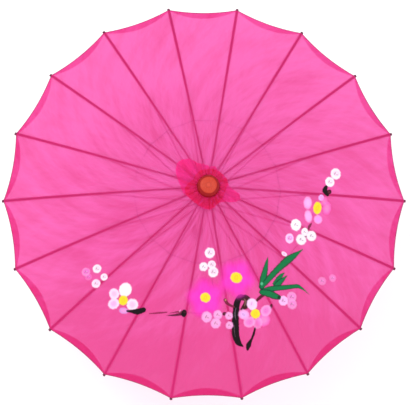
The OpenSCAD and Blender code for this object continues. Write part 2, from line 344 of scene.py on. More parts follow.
def bamboo(name, pale, dark, tips=False, thread=False):
    """Split bamboo with its grain along each link, nodes across it and, on the ribs, stained tips."""
    finish = Finish(name)
    nodes = finish.nodes
    side = finish.from_rib() * 1000
    reach = finish.radius() * 1000
    height = finish.z * 1000
    grain = nodes.noise(nodes.vector(reach * 0.03, side * 2.6, height * 1.3), 1.0, 4.0, 0.6)
    patches = nodes.noise(nodes.vector(reach * 0.012, side * 0.2, height * 0.05), 1.0, 2.0)
    turns = finish.y.angle_of(finish.x) / SECTOR
    band = nodes.noise(nodes.vector(turns.rounded() * 3.7, reach * 0.011, 0.0), 1.0, 0.0)
    knot = abs(band - 0.5).step(0.012, 0.002)
    shade = (grain - 0.5) * 1.3 + (patches - 0.5) * 0.8 + 0.4 + knot * 0.45
    colour = nodes.mix(shade.share(), pale, dark)
    if tips:
        stain = (finish.radius() + (grain - 0.5) * 0.006).step(0.4, 0.407)
        colour = nodes.mix(stain, colour, (0.1, 0.02, 0.035))
    if thread:
        offset = ((reach - KNEE.x * 1000) ** 2 + (height - KNEE.z * 1000) ** 2) ** 0.5
        colour = nodes.mix(offset.step(0.6, 0.5), colour, (0.35, 0.02, 0.06))
    bump = finish.bump(grain + knot * 0.6, 0.4, 0.0004)
    rough = 0.5 + (grain - 0.5) * 0.3 - knot * 0.08
    return finish.done(finish.surface(base_color=colour, roughness=rough, normal=bump, coat_weight=0.12))


def steel_where(finish, colour, rough, metal_mask):
    """Colour, roughness and metal of a ring wire in a wooden crown."""
    nodes = finish.nodes
    colour = nodes.mix(metal_mask, colour, (0.62, 0.6, 0.57))
    return colour, rough + (0.3 - rough) * metal_mask


def wire_mask(finish, height):
    """1 on the ring wire that lies at the hinge radius, at this height."""
    away = ((finish.radius() - HINGE.x) ** 2 + (finish.z - height) ** 2) ** 0.5
    return away.step(WIRE_RADIUS * 1.12, WIRE_RADIUS * 1.02)


def turned_wood(name, pale, dark, coat, wire_height=None, worn=0.5, lacquer_above=None):
    """Turned wood: grain up the axis, fine rings from the tool, and a clear coat."""
    finish = Finish(name)
    nodes = finish.nodes
    x, y, z = finish.x * 1000, finish.y * 1000, finish.z * 1000
    warp = nodes.noise(nodes.vector(x * 0.05, y * 0.05, z * 0.008), 1.0, 2.0)
    rings = ((x * 0.9 + warp * 16).sin() * 0.5 + 0.5) * 0.5
    fibre = nodes.noise(nodes.vector(x * 1.4, y * 1.4, z * 0.05), 1.0, 4.0, 0.65)
    pores = nodes.noise(nodes.vector(x * 3.0, y * 3.0, z * 0.12), 1.0, 2.0).step(0.62, 0.72)
    shade = rings + (fibre - 0.5) * 0.9 + pores * 0.35
    colour = nodes.mix(shade.share(), pale, dark)
    handled = nodes.noise(finish.place, 26.0, 3.0)
    if lacquer_above is not None:
        ring = abs(finish.radius() * 1000 - 4.2).step(0.7, 0.2) * 0.6
        end = nodes.mix(ring, (0.46, 0.04, 0.02), (0.26, 0.014, 0.008))
        colour = nodes.mix(finish.z.step(lacquer_above, lacquer_above + 0.001), colour, end)
    rough = 0.36 + (handled - 0.5) * 0.4 * worn + pores * 0.12
    tool = (z * 5.2).sin() * 0.12 + fibre * 0.6 - pores * 0.5
    bare = 1.0 if lacquer_above is None else 1.0 - finish.z.step(lacquer_above, lacquer_above + 0.001)
    sockets = {"specular_ior_level": 0.2, "coat_weight": bare * coat, "coat_roughness": 0.18}
    if wire_height is not None:
        mask = wire_mask(finish, wire_height)
        colour, rough = steel_where(finish, colour, rough, mask)
        sockets["metallic"] = mask
    bump = finish.bump(tool, 0.35, 0.0003)
    return finish.done(finish.surface(base_color=colour, roughness=rough, normal=bump, **sockets))


def lacquered_head():
    """The head: bare turned wood below the neck, and red lacquer on the cap, painted lighter orange on its
    flat top as lit and darker red down its sides as in shade.
    """
    finish = Finish("red lacquer on turned wood")
    nodes = finish.nodes
    x, y = finish.x * 1000, finish.y * 1000
    reach = finish.radius() * 1000
    above = (finish.z - HINGE.z) * 1000
    top = (CROWN_UP + NECK_LENGTH) * 1000
    cap = top + 1.1 + CAP_HEIGHT * 1000
    fibre = nodes.noise(nodes.vector(x * 1.2, y * 0.25, above * 0.25), 1.0, 4.0, 0.6)
    clouds = nodes.noise(finish.place, 60.0, 3.0)
    bare = nodes.mix(fibre.step(0.3, 0.7), (0.62, 0.4, 0.22), (0.4, 0.22, 0.1))
    # Painted light and shade of the one red lacquer: a lit orange on the flat top, a shaded dark red on the
    # sides.
    flat = (reach + (clouds - 0.5) * 2.0).step(16.9, 15.5) * above.step(cap - 6.0, cap - 4.0)
    lit_top_orange = nodes.mix(fibre.step(0.25, 0.8), (0.46, 0.042, 0.02), (0.36, 0.022, 0.011))
    red = nodes.mix(clouds, (0.3, 0.001, 0.003), (0.17, 0.001, 0.002))
    lacquer = nodes.mix(flat, red, lit_top_orange)
    groove = abs(reach - 5.6).step(0.9, 0.2)
    lacquer = nodes.mix(groove * 0.4, lacquer, (0.3, 0.02, 0.008))
    coated = above.step(top - 0.6, top - 0.1)
    mask = wire_mask(finish, HINGE.z)
    colour = nodes.mix(coated, bare, lacquer)
    rough = 0.5 - coated * 0.2 + (clouds - 0.5) * 0.22
    colour, rough = steel_where(finish, colour, rough, mask)
    lathe = (reach * 3.4).sin() * 0.25 + fibre * 0.5 - groove * 1.2
    bump = finish.bump(lathe, 0.35, 0.0004)
    sockets = {"metallic": mask, "specular_ior_level": 0.14, "coat_roughness": 0.3}
    sockets["coat_weight"] = coated * 0.04
    shader = finish.surface(base_color=colour, roughness=rough, normal=bump, **sockets)
    return finish.done(shader)


def spring_steel():
    finish = Finish("spring steel")
    nodes = finish.nodes
    brushed = nodes.noise(nodes.vector(finish.x * 900, finish.y * 5200, finish.z * 260), 1.0, 2.0)
    spots = nodes.noise(finish.place, 420.0, 3.0).step(0.6, 0.72)
    colour = nodes.mix(spots * 0.5, (0.58, 0.57, 0.55), (0.24, 0.13, 0.08))
    rough = 0.28 + brushed * 0.16 + spots * 0.2
    bump = finish.bump(brushed, 0.2, 0.0001)
    metal = 1.0 - spots * 0.6
    return finish.done(finish.surface(base_color=colour, roughness=rough, metallic=metal, normal=bump))


def thread_finish(name, colour, shade):
    """Twisted thread: its plies wind round it by the piece's own along and around values."""
    finish = Finish(name)
    nodes = finish.nodes
    along = nodes.add("ShaderNodeAttribute", {"attribute_name": "along"}, None, out="Fac") * 1000
    around = nodes.add("ShaderNodeAttribute", {"attribute_name": "around"}, None, out="Fac")
    plies = (along * 4.5 + around * math.tau * 3).sin() * 0.5 + 0.5
    fuzz = nodes.noise(finish.place, 900.0, 2.0)
    tint = nodes.mix(plies * 0.7 + (fuzz - 0.5) * 0.6, shade, colour)
    bump = finish.bump(plies + fuzz * 0.4, 0.5, 0.0002)
    return finish.done(finish.surface(base_color=tint, roughness=0.7 + (fuzz - 0.5) * 0.2, normal=bump))


CANOPY_SILK = silk("canopy silk", PINK, DEEP_PINK, 0.8, glue_and_rib_shade=0.95)
PAINTED_SILK = silk("painted canopy silk", PINK, DEEP_PINK, 0.8, glue_and_rib_shade=0.95, painted=True)
COLLAR_SILK = silk("collar silk", (0.95, 0.05, 0.36), (0.88, 0.025, 0.2), 0.74)
COLLAR_FOLDS = silk("gathered collar silk", (0.92, 0.028, 0.22), (0.74, 0.01, 0.085), 0.8)
RIB_BAMBOO = bamboo("rib bamboo", (0.5, 0.3, 0.15), (0.25, 0.12, 0.06), tips=True, thread=True)
STRUT_BAMBOO = bamboo("strut bamboo", (0.6, 0.4, 0.2), (0.36, 0.2, 0.09))
SHAFT_WOOD = turned_wood(
    "shaft wood", (0.5, 0.29, 0.13), (0.28, 0.13, 0.05), 0.2, lacquer_above=HINGE.z + 15 * MM
)
HANDLE_WOOD = turned_wood("handle wood", (0.36, 0.15, 0.055), (0.13, 0.04, 0.016), 0.5, worn=0.9)
RUNNER_WOOD = turned_wood(
    "runner wood", (0.6, 0.38, 0.19), (0.38, 0.2, 0.09), 0.2, wire_height=RUNNER_HINGE.z
)
HEAD_LACQUER = lacquered_head()
CATCH_STEEL = spring_steel()
RIM_THREAD = thread_finish("rim thread", (0.2, 0.02, 0.07), (0.07, 0.006, 0.03))
INNER_THREAD = thread_finish("inner thread", (0.2, 0.015, 0.05), (0.08, 0.006, 0.02))


def finish_node(name, material):
    mesh = frame["nodes"][name].data
    mesh.materials.clear()
    mesh.materials.append(material)


for number in range(1, RIBS + 1):
    finish_node(f"rib_{number:02d}", RIB_BAMBOO)
    finish_node(f"strut_{number:02d}", STRUT_BAMBOO)
finish_node("shaft", SHAFT_WOOD)
finish_node("handle", HANDLE_WOOD)
finish_node("runner", RUNNER_WOOD)
finish_node("head", HEAD_LACQUER)
finish_node("catch", CATCH_STEEL)

# ---------------------------------------------------------------- camera, light and floor

RIM_HEIGHT = rib_point(RIB_LENGTH, TIP_LIFT).z
LEAN = 0.199  # how far the view leans from straight down, sideways for each unit of height
LEAN_TURN = math.radians(14)
FAR = 4.62
AIM = Vector((0.8 * MM, -2.4 * MM, RIM_HEIGHT))


def place_camera():
    data = bpy.data.cameras.new("camera")
    data.lens = 200
    data.sensor_width = 36
    data.clip_end = 50
    camera = bpy.data.objects.new("camera", data)
    bpy.context.scene.collection.objects.link(camera)
    back = Vector((-LEAN * math.sin(LEAN_TURN), -LEAN * math.cos(LEAN_TURN), 1)).normalized()
    right = (Vector((1, 0, 0)) - back * back.x).normalized()
    up = back.cross(right)
    turn = Matrix((right, up, back)).transposed().to_4x4()
    camera.matrix_world = Matrix.Translation(AIM + back * FAR) @ turn
    bpy.context.scene.camera = camera


def place_light(name, place, size, power):
    data = bpy.data.lights.new(name, "AREA")
    data.shape = "DISK"
    data.size = size
    data.energy = power
    light = bpy.data.objects.new(name, data)
    bpy.context.scene.collection.objects.link(light)
    aim = (Vector((0, 0, 0.4)) - Vector(place)).to_track_quat("-Z", "Y")
    light.matrix_world = Matrix.Translation(place) @ aim.to_matrix().to_4x4()


def place_floor():
    finish = Finish("pale floor")
    mottle = finish.nodes.noise(finish.place, 3.0, 4.0)
    colour = finish.nodes.mix(mottle, (0.88, 0.88, 0.885), (0.92, 0.92, 0.92))
    material = finish.done(finish.surface(base_color=colour, roughness=0.85 + mottle * 0.1))
    mesh = bpy.data.meshes.new("floor")
    half, low = 6.0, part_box("handle")[0].z - 5 * MM
    corners = [(x * half, y * half, low) for x, y in ((-1, -1), (1, -1), (1, 1), (-1, 1))]
    mesh.from_pydata(corners, [], [(0, 1, 2, 3)])
    mesh.materials.append(material)
    floor = bpy.data.objects.new("floor", mesh)
    bpy.context.scene.collection.objects.link(floor)


place_camera()
place_light("key light", (-1.1, 0.8, 3.8), 2.0, 50)
place_light("fill light", (1.6, -1.2, 3.4), 3.0, 16)
place_floor()
world = bpy.data.worlds.new("soft studio")
world.use_nodes = True
world.node_tree.nodes["Background"].inputs["Color"].default_value = (1, 1, 1, 1)
world.node_tree.nodes["Background"].inputs["Strength"].default_value = 1.25
bpy.context.scene.world = world
bpy.context.scene.view_settings.view_transform = "Standard"
bpy.context.scene.cycles.transparent_max_bounces = 16

# ---------------------------------------------------------------- geometry trees


class Tree(Nodes):
    """A geometry tree with named inputs, and how to run it on one object."""

    def __init__(self, name, inputs):
        super().__init__(bpy.data.node_groups.new(name, "GeometryNodeTree"))
        self.sockets = {}
        kinds = {float: "NodeSocketFloat", int: "NodeSocketInt"}
        self.tree.interface.new_socket("Geometry", in_out="OUTPUT", socket_type="NodeSocketGeometry")
        for label, kind in inputs.items():
            socket = self.tree.interface.new_socket(label, in_out="INPUT", socket_type=kinds[kind])
            self.sockets[label] = socket.identifier
        self.group = self.add("NodeGroupInput", out=None)

    def given(self, label):
        return Wire(self, self.group.outputs[label])

    def field(self, kind, inputs=None, out=0, **settings):
        return self.add(kind, settings, inputs, out)

    def store(self, geometry, name, value, kind="FLOAT"):
        settings = {"data_type": kind, "domain": "POINT"}
        inputs = {"Geometry": geometry, "Name": name, "Value": value}
        return self.add("GeometryNodeStoreNamedAttribute", settings, inputs)

    def recall(self, name):
        return self.add("GeometryNodeInputNamedAttribute", {"data_type": "FLOAT"}, {"Name": name})

    def join(self, *parts):
        node = self.add("GeometryNodeJoinGeometry", out=None)
        for part in parts:
            self.tree.links.new(part.socket, node.inputs[0])
        return Wire(self, node.outputs[0])

    def moved(self, geometry, **inputs):
        """Points of geometry set to Position or moved by Offset."""
        inputs = {name.title(): value for name, value in inputs.items()}
        return self.add("GeometryNodeSetPosition", None, {"Geometry": geometry, **inputs})

    def end(self, geometry, material):
        geometry = self.add("GeometryNodeRealizeInstances", None, [geometry])
        geometry = self.add("GeometryNodeSetMaterial", None, {"Geometry": geometry, "Material": material})
        self.add("NodeGroupOutput", None, [geometry], out=None)

    def run(self, pieces):
        """The results as objects with plain meshes at the origin; pieces gives each name its inputs."""
        carriers = []
        for values in pieces.values():
            carrier = bpy.data.objects.new("carrier", bpy.data.meshes.new("carrier"))
            bpy.context.scene.collection.objects.link(carrier)
            modifier = carrier.modifiers.new("tree", "NODES")
            modifier.node_group = self.tree
            for label, value in values.items():
                modifier[self.sockets[label]] = value
            carriers.append(carrier)
        evaluated = bpy.context.evaluated_depsgraph_get()
        meshes = [bpy.data.meshes.new_from_object(carrier.evaluated_get(evaluated)) for carrier in carriers]
        made = []
        for name, mesh, carrier in zip(pieces, meshes, carriers):
            bpy.data.objects.remove(carrier)
            mesh.name = name
            made.append(bpy.data.objects.new(name, mesh))
            bpy.context.scene.collection.objects.link(made[-1])
        return made


def slack(across):
    """Share of the sag from 0 at a rib to 1 half way to the next, for across from -1 to 1."""
    return 1 - (1 - abs(across)) ** 2


def cloth_place(share, across, lift, edge=0.0):
    """Where the cloth is: share from head to rim, across from -1 to 1, edge in metres inside the rim."""
    rim = CLOTH_TO - slack(across) * RIM_SCALLOP
    along = CLOTH_FROM + (rim - CLOTH_FROM) * share - edge
    outer = ((along - LINK) / (RIB_LENGTH - LINK)).at_least(0.0)
    above = RIB_TOP - outer * outer * TIP_DROP + lift
    reach = HINGE.x + along * COS + above * SIN
    height = HINGE.z + above * COS - along * SIN
    middle = reach * math.cos(HALF_SECTOR) ** 2
    sag = (along - CLOTH_FROM) / (CLOTH_TO - CLOTH_FROM)
    x = reach + (middle - reach) * abs(across)
    y = middle * math.tan(HALF_SECTOR) * across
    z = height - sag * slack(across) * CLOTH_SAG
    return x, y, z, along


def turned(tree, geometry, turn):
    rotation = tree.vector(0.0, 0.0, turn)
    return tree.add("GeometryNodeTransform", None, {"Geometry": geometry, "Rotation": rotation})


def canopy_tree(material):
    """One gore of the canopy, from half way between two ribs to half way between the next, with its hem."""
    tree = Tree("canopy gore", {"Turn": float, "Columns": int, "Rows": int, "Wrinkles": float})
    turn = tree.given("Turn")

    def sheet(rows, hem):
        size = {"Size X": 1.0, "Size Y": 2.0, "Vertices X": rows, "Vertices Y": tree.given("Columns")}
        grid = tree.add("GeometryNodeMeshGrid", None, size)
        share, across, _ = tree.parts(tree.field("GeometryNodeInputPosition"))
        share = share + 0.5
        if hem:
            width = slack(across) * HEM_WIDTH + HEM_AT_RIB
            lift = CLOTH_LIFT - (share * 9.0).at_most(1.0) * 0.45 * MM
            x, y, z, along = cloth_place(1.0, across, lift, share * width)
        else:
            x, y, z, along = cloth_place(share, across, CLOTH_LIFT)
        grid = tree.store(grid, "slack", slack(across))
        grid = tree.store(grid, "across", y)
        grid = tree.store(grid, "along", along)
        grid = tree.store(grid, "hem", 1.0 if hem else 0.0)
        return tree.moved(grid, position=tree.vector(x, y, z))

    top, hem = sheet(tree.given("Rows"), False), sheet(9, True)
    hem = tree.add("GeometryNodeFlipFaces", None, [hem])
    joined = {"Geometry": tree.join(top, hem), "Distance": 0.02 * MM}
    whole = tree.add("GeometryNodeMergeByDistance", None, joined)
    whole = turned(tree, whole, turn)
    place = tree.field("GeometryNodeInputPosition")
    px, py, _ = tree.parts(place)
    radius = (px * px + py * py) ** 0.5
    swing = py.angle_of(px)
    broad = tree.noise(place, 16.0, 1.0) - 0.5
    pulls = tree.noise(tree.vector(swing * 9.0, radius * 5.0, 1.7), 1.0, 2.0) - 0.5
    near_rim = radius.step(0.25, 0.39)
    folds = tree.noise(tree.vector(swing * 30.0 + radius * 30.0, radius * 6.0, 4.2), 1.0, 1.0) - 0.5
    rise = broad * 2.2 * MM + pulls * 1.6 * MM + folds * near_rim * 1.9 * MM
    rise = rise * tree.recall("slack") * tree.given("Wrinkles")
    whole = tree.moved(whole, offset=tree.vector(0.0, 0.0, rise))
    whole = tree.add("GeometryNodeSetShadeSmooth", None, {"Geometry": whole})
    tree.end(whole, material)
    return tree


def thread_along(tree, curve, thickness):
    """A round thread along a curve, with its length and turn kept for the twist of its plies."""
    length = tree.field("GeometryNodeSplineParameter", None, out="Length")
    curve = tree.store(curve, "along", length)
    size = {"Resolution": 8, "Radius": thickness}
    ring = tree.add("GeometryNodeCurvePrimitiveCircle", {"mode": "RADIUS"}, size)
    ring = tree.store(ring, "around", tree.field("GeometryNodeSplineParameter", None, out="Factor"))
    sweep = {"Curve": curve, "Profile Curve": ring, "Fill Caps": True}
    mesh = tree.add("GeometryNodeCurveToMesh", None, sweep)
    return tree.add("GeometryNodeSetShadeSmooth", None, {"Geometry": mesh})


def line_across(tree, points):
    """A straight curve whose points run from -1 to 1, with the wire that tells where each is."""
    line = tree.add("GeometryNodeCurvePrimitiveLine", None, {"Start": (0, -1, 0), "End": (0, 1, 0)})
    line = tree.add("GeometryNodeResampleCurve", None, {"Curve": line, "Count": points})
    return line, tree.parts(tree.field("GeometryNodeInputPosition"))[1]


def end_thread(tree, line, x, y, z, material):
    line = tree.moved(line, position=tree.vector(x, y, z))
    tree.end(turned(tree, thread_along(tree, line, tree.given("Thickness")), tree.given("Turn")), material)
    return tree


def rim_thread_tree():
    """The thread in the folded rim, from half way between two ribs to half way between the next."""
    tree = Tree("rim thread", {"Turn": float, "Thickness": float})
    line, across = line_across(tree, 49)
    x, y, z, _ = cloth_place(1.0, across, CLOTH_LIFT - 0.3 * MM, -0.4 * MM)
    return end_thread(tree, line, x, y, z, RIM_THREAD)


def ring_thread_tree():
    """A thread under the cloth from rib to rib at one distance from the shaft, slack between them."""
    tree = Tree("ring thread", {"Turn": float, "Thickness": float, "Distance": float, "Sag": float})
    line, across = line_across(tree, 33)
    share = (tree.given("Distance") - CLOTH_FROM) / (CLOTH_TO - CLOTH_FROM)
    x, y, z, _ = cloth_place(share, across, -0.8 * MM)
    z = z - slack(across) * tree.given("Sag")
    return end_thread(tree, line, x, y, z, INNER_THREAD)


def whipping_tree():
    """Turns of thread that bind the cloth to a rib's tip, with the knot that ends them."""
    tree = Tree("tip whipping", {"Turn": float, "Turns": float, "Knot": float})
    middle = rib_point(CLOTH_TO + 0.6 * MM, rib_top(CLOTH_TO) - RIB_TIP_DEPTH / 2 + 0.1 * MM)
    spiral = {
        "Resolution": 12,
        "Rotations": tree.given("Turns"),
        "Start Radius": 2.75 * MM,
        "End Radius": 2.65 * MM,
        "Height": 3.4 * MM,
    }
    coil = tree.add("GeometryNodeCurveSpiral", None, spiral)
    lay = {"Geometry": coil, "Rotation": (0.0, math.pi / 2 + SLOPE, 0.0), "Translation": middle}
    coil = tree.add("GeometryNodeTransform", None, {"Geometry": coil, "Scale": (0.72, 1.0, 1.0)})
    lay["Geometry"] = coil
    coil = thread_along(tree, tree.add("GeometryNodeTransform", None, lay), 0.35 * MM)
    ball = tree.add("GeometryNodeMeshIcoSphere", None, {"Radius": tree.given("Knot"), "Subdivisions": 3})
    spot = tree.field("GeometryNodeInputPosition")
    lump = tree.noise(spot, 900.0, 1.0) - 0.5
    normal = tree.field("GeometryNodeInputNormal")
    push = {"Vector": normal, "Scale": lump * 1.1 * MM}
    push = tree.add("ShaderNodeVectorMath", {"operation": "SCALE"}, push)
    ball = tree.moved(ball, offset=push)
    top = rib_point(CLOTH_TO + 1.4 * MM, rib_top(CLOTH_TO) + 1.1 * MM)
    lay = {"Geometry": ball, "Scale": (1.3, 1.0, 0.75), "Translation": top}
    ball = tree.add("GeometryNodeTransform", None, lay)
    whole = tree.add("GeometryNodeSetShadeSmooth", None, {"Geometry": tree.join(coil, ball)})
    tree.end(turned(tree, whole, tree.given("Turn")), RIM_THREAD)
    return tree


# ---------------------------------------------------------------- the painting


WHITE = (0.76, 0.66, 0.76)
BLUSH = (0.74, 0.36, 0.56)
PALE_PINK = (0.76, 0.29, 0.6)
ROSE = (0.78, 0.14, 0.5)
MAGENTA = (0.8, 0.03, 0.48)
YELLOW = (0.76, 0.58, 0.02)
OCHRE = (0.7, 0.42, 0.02)
INK = (0.006, 0.002, 0.004)
BROWN = (0.13, 0.01, 0.03)
LEAF = (0.003, 0.15, 0.045)
LEAF_DARK = (0.004, 0.04, 0.022)
MINT = (0.1, 0.5, 0.28)
GREY = (0.3, 0.2, 0.28)


def between(low, high, value):
    """0 at low, 1 at high and smooth between them."""
    share = np.clip((value - low) / (high - low), 0, 1)
    return share * share * (3 - 2 * share)


def ripple(points, size, seed):
    """Smooth unevenness from -1 to 1 over points in the plane, with bumps of about this size."""
    rng = np.random.default_rng(seed)
    total = np.zeros(len(points))
    for _ in range(7):
        angle, phase = rng.uniform(0, math.tau, 2)
        pitch = size * rng.uniform(0.6, 1.6)
        total += np.sin((points @ (math.cos(angle), math.sin(angle))) * math.tau / pitch + phase)
    return total / 4


class Painting:
    """Layers of dye on points of the cloth. Places are in millimetres from the shaft, seen from above."""

    def __init__(self, points):
        self.points = points
        self.colour = np.zeros((len(points), 3))
        self.cover = np.zeros(len(points))
        self.grain = ripple(points, 5.0, 11)
        self.fine = ripple(points, 1.8, 12)

    def lay(self, where, amount, colour):
        """Lays one colour, or a colour for each point, over the points in this part of the cloth."""
        amount = np.clip(amount, 0, 1)
        total = amount + self.cover[where] * (1 - amount)
        share = np.divide(amount, total, out=np.zeros_like(total), where=total > 0)[:, None]
        self.colour[where] = np.asarray(colour) * share + self.colour[where] * (1 - share)
        self.cover[where] = total

    def near(self, low, high, margin):
        inside = (self.points > np.asarray(low) - margin) & (self.points < np.asarray(high) + margin)
        return np.flatnonzero(inside.all(1))

    def petal(self, x, y, length, width, turn, edge, heart, strength=0.95, soft=0.18):
        """An oval dab, paler or darker in its heart."""
        where = self.near((x, y), (x, y), max(length, width))
        away = self.points[where] - (x, y)
        c, s = math.cos(math.radians(turn)), math.sin(math.radians(turn))
        forward, side = away @ (c, s), away @ (-s, c)
        fine = self.fine[where]
        reach = np.hypot(forward / (length / 2), side / (width / 2)) + self.grain[where] * 0.05 + fine * 0.03
        mixed = between(0.95, 0.25, reach)[:, None] * (0.75 + 0.25 * fine[:, None])
        colour = np.asarray(edge) * (1 - mixed) + np.asarray(heart) * mixed
        self.lay(where, strength * between(1 + soft, 1 - soft, reach), colour)

    def bud(self, x, y, size, edge=WHITE, heart=BLUSH, strength=0.95, tall=1.0, turn=80):
        """A round bud with a small curl in its middle."""
        outline = tuple(0.55 * level for level in edge)
        self.petal(x, y, size * tall * 1.06, size * 1.06, turn, outline, outline, strength * 0.6, 0.12)
        self.petal(x, y, size * tall * 0.96, size * 0.96, turn, edge, edge, strength, 0.14)
        self.petal(x + size * 0.04, y + size * 0.05, size * 0.6, size * 0.5, 15, heart, edge, 0.7, 0.4)
        self.petal(x - size * 0.07, y + size * 0.04, size * 0.3, size * 0.12, 60, BROWN, GREY, 0.7, 0.5)
        self.petal(x + size * 0.12, y - size * 0.06, size * 0.22, size * 0.1, -20, BROWN, GREY, 0.6, 0.5)

    def blossom(self, x, y, size, turn):
        """A soft wide blossom of five petals, brighter where they overlap."""
        self.petal(x, y, size * 1.02, size * 0.96, turn, MAGENTA, MAGENTA, 0.4, 0.4)
        for k in range(5):
            angle = math.radians(turn + 72 * k)
            px, py = x + math.cos(angle) * size * 0.29, y + math.sin(angle) * size * 0.29
            heart = (0.9, 0.04, 0.6)
            self.petal(px, py, size * 0.48, size * 0.42, turn + 72 * k, MAGENTA, heart, 0.5, 0.5)

    def middle(self, x, y, wide, tall):
        """The yellow heart of a blossom."""
        self.petal(x, y, tall, wide, 80, YELLOW, YELLOW, 0.98, 0.14)
        self.petal(x, y, tall * 0.5, wide * 0.34, 65, OCHRE, YELLOW, 0.75, 0.4)

    def stroke(self, points, widths, colour, dry=0.2, strength=0.97):
        """A brush stroke through points, as wide at each as widths says; dry breaks it up."""
        path = np.array(points, float)
        steps = np.linspace(0, len(path) - 1, 14 * (len(path) - 1) + 1)
        curve = np.stack([self.smooth(path[:, k], steps) for k in (0, 1)], 1)
        width = np.interp(steps, range(len(path)), widths)
        place = self.near(curve.min(0), curve.max(0), max(widths))
        points, grain, fine = self.points[place], self.grain[place], self.fine[place]
        nearest = np.full(len(points), 1e9)
        where = np.zeros(len(points))
        for k in range(len(curve) - 1):
            start, span = curve[k], curve[k + 1] - curve[k]
            share = np.clip(((points - start) @ span) / max(span @ span, 1e-9), 0, 1)
            gap = np.hypot(*(points - start - share[:, None] * span).T)
            gap = gap / (0.5 * (width[k] + (width[k + 1] - width[k]) * share))
            closer = gap < nearest
            nearest[closer] = gap[closer]
            where[closer] = (k + share[closer]) / (len(curve) - 1)
        edge = nearest + (grain + fine) * 0.05
        streaks = np.sin(nearest * 9 + grain * 3 + where * 5) * 0.5 + 0.5
        amount = strength * between(1.1, 0.9, edge) * (1 - dry * streaks * (0.6 + 0.4 * fine))
        self.lay(place, amount, colour)

    @staticmethod
    def smooth(values, steps):
        """A curve through values, with a value at each step."""
        padded = np.concatenate([[2 * values[0] - values[1]], values, [2 * values[-1] - values[-2]]])
        k = np.minimum(steps.astype(int), len(values) - 2)
        t = steps - k
        a, b, c, d = (padded[k + n] for n in range(4))
        squared, cubed = 2 * a - 5 * b + 4 * c - d, 3 * b - a - 3 * c + d
        return 0.5 * (2 * b + (c - a) * t + squared * t**2 + cubed * t**3)

    def leaf(self, points, widths):
        """A long pointed leaf with dark edges."""
        self.stroke(points, widths, LEAF_DARK, dry=0.0)
        self.stroke(points, [width * 0.68 for width in widths], LEAF, dry=0.12)


def paint_left_spray(art):
    art.bud(-240, -153, 17, PALE_PINK, MAGENTA, 0.6)
    art.bud(-235, -163, 14, PALE_PINK, MAGENTA, 0.3)
    art.bud(-218, -148, 17)
    art.bud(-204, -165, 14)
    art.bud(-220, -177, 17, (0.9, 0.6, 0.8), BLUSH, 0.95)
    art.stroke([(-114, -238), (-94, -237), (-80, -236)], [1.5, 3.5, 2.5], BROWN, 0.2, 0.85)
    art.stroke([(-80, -242), (-66, -242), (-50, -240)], [1, 4, 6], INK, 0.3, 0.95)
    art.stroke([(-74, -238), (-60, -236), (-50, -236)], [1, 3, 5], BROWN, 0.3, 0.95)
    art.petal(-46, -239, 15, 11, 80, INK, INK, 1.0, 0.12)
    # A painted highlight: a small pale dab at the upper edge of the ink knot.
    art.petal(-54, -234, 5, 3, 40, BLUSH, PALE_PINK, 0.6, 0.4)
    art.stroke([(-46, -237), (-20, -239), (34, -241)], [2.5, 2.5, 2.5], BROWN, 0.2, 0.36)
    art.petal(-165, -231, 19, 12, 170, (0.5, 0.25, 0.6), PALE_PINK, 0.85)
    art.petal(-184, -198, 21, 19, 120, (0.9, 0.62, 0.82), BLUSH, 0.93)
    art.petal(-185, -217, 22, 20, 200, (0.9, 0.6, 0.82), PALE_PINK, 0.93)
    art.petal(-148, -220, 23, 22, -20, (0.9, 0.66, 0.82), BLUSH, 0.95)
    art.petal(-162, -191, 27, 25, 60, WHITE, (0.9, 0.82, 0.84), 0.98, 0.12)
    art.stroke([(-158, -232), (-148, -233), (-138, -234), (-126, -231)], [4, 7, 12, 10], INK, 0.0, 1.0)
    art.middle(-166, -211, 18, 19)
    for x, y in ((-174, -203), (-157, -204), (-172, -220), (-159, -219)):
        art.petal(x, y, 4, 2, 45, BROWN, OCHRE, 0.7, 0.4)


def paint_middle_spray(art):
    art.stroke([(9, -170), (10, -182), (14, -193)], [1, 2, 1], BROWN, 0.3, 0.5)
    art.blossom(-4, -210, 68, 100)
    art.blossom(58, -172, 66, 62)
    art.middle(-4, -209, 20, 18)
    art.middle(57, -171, 23, 20)
    art.bud(4, -125, 20, (0.9, 0.7, 0.86), BLUSH)
    art.bud(8, -147, 16)
    art.bud(11, -161, 20)
    art.bud(-8, -151, 17, WHITE, WHITE)
    art.stroke([(35, -214), (40, -221), (52, -227)], [7, 6, 4], BROWN, 0.2, 1.0)
    art.petal(36, -214, 4, 3, 40, (0.6, 0.3, 0.25), OCHRE, 0.6, 0.4)
    art.bud(-1, -246, 21, PALE_PINK, BLUSH, 0.95)
    art.bud(21, -242, 18, PALE_PINK, BLUSH, 0.92)
    art.bud(17, -258, 20, PALE_PINK, BLUSH, 0.95)
    art.petal(34, -240, 8, 7, 20, INK, BROWN, 0.97)
    art.bud(43, -244, 15, PALE_PINK, BLUSH, 0.92)
    art.bud(44, -262, 15, PALE_PINK, BLUSH, 0.85)


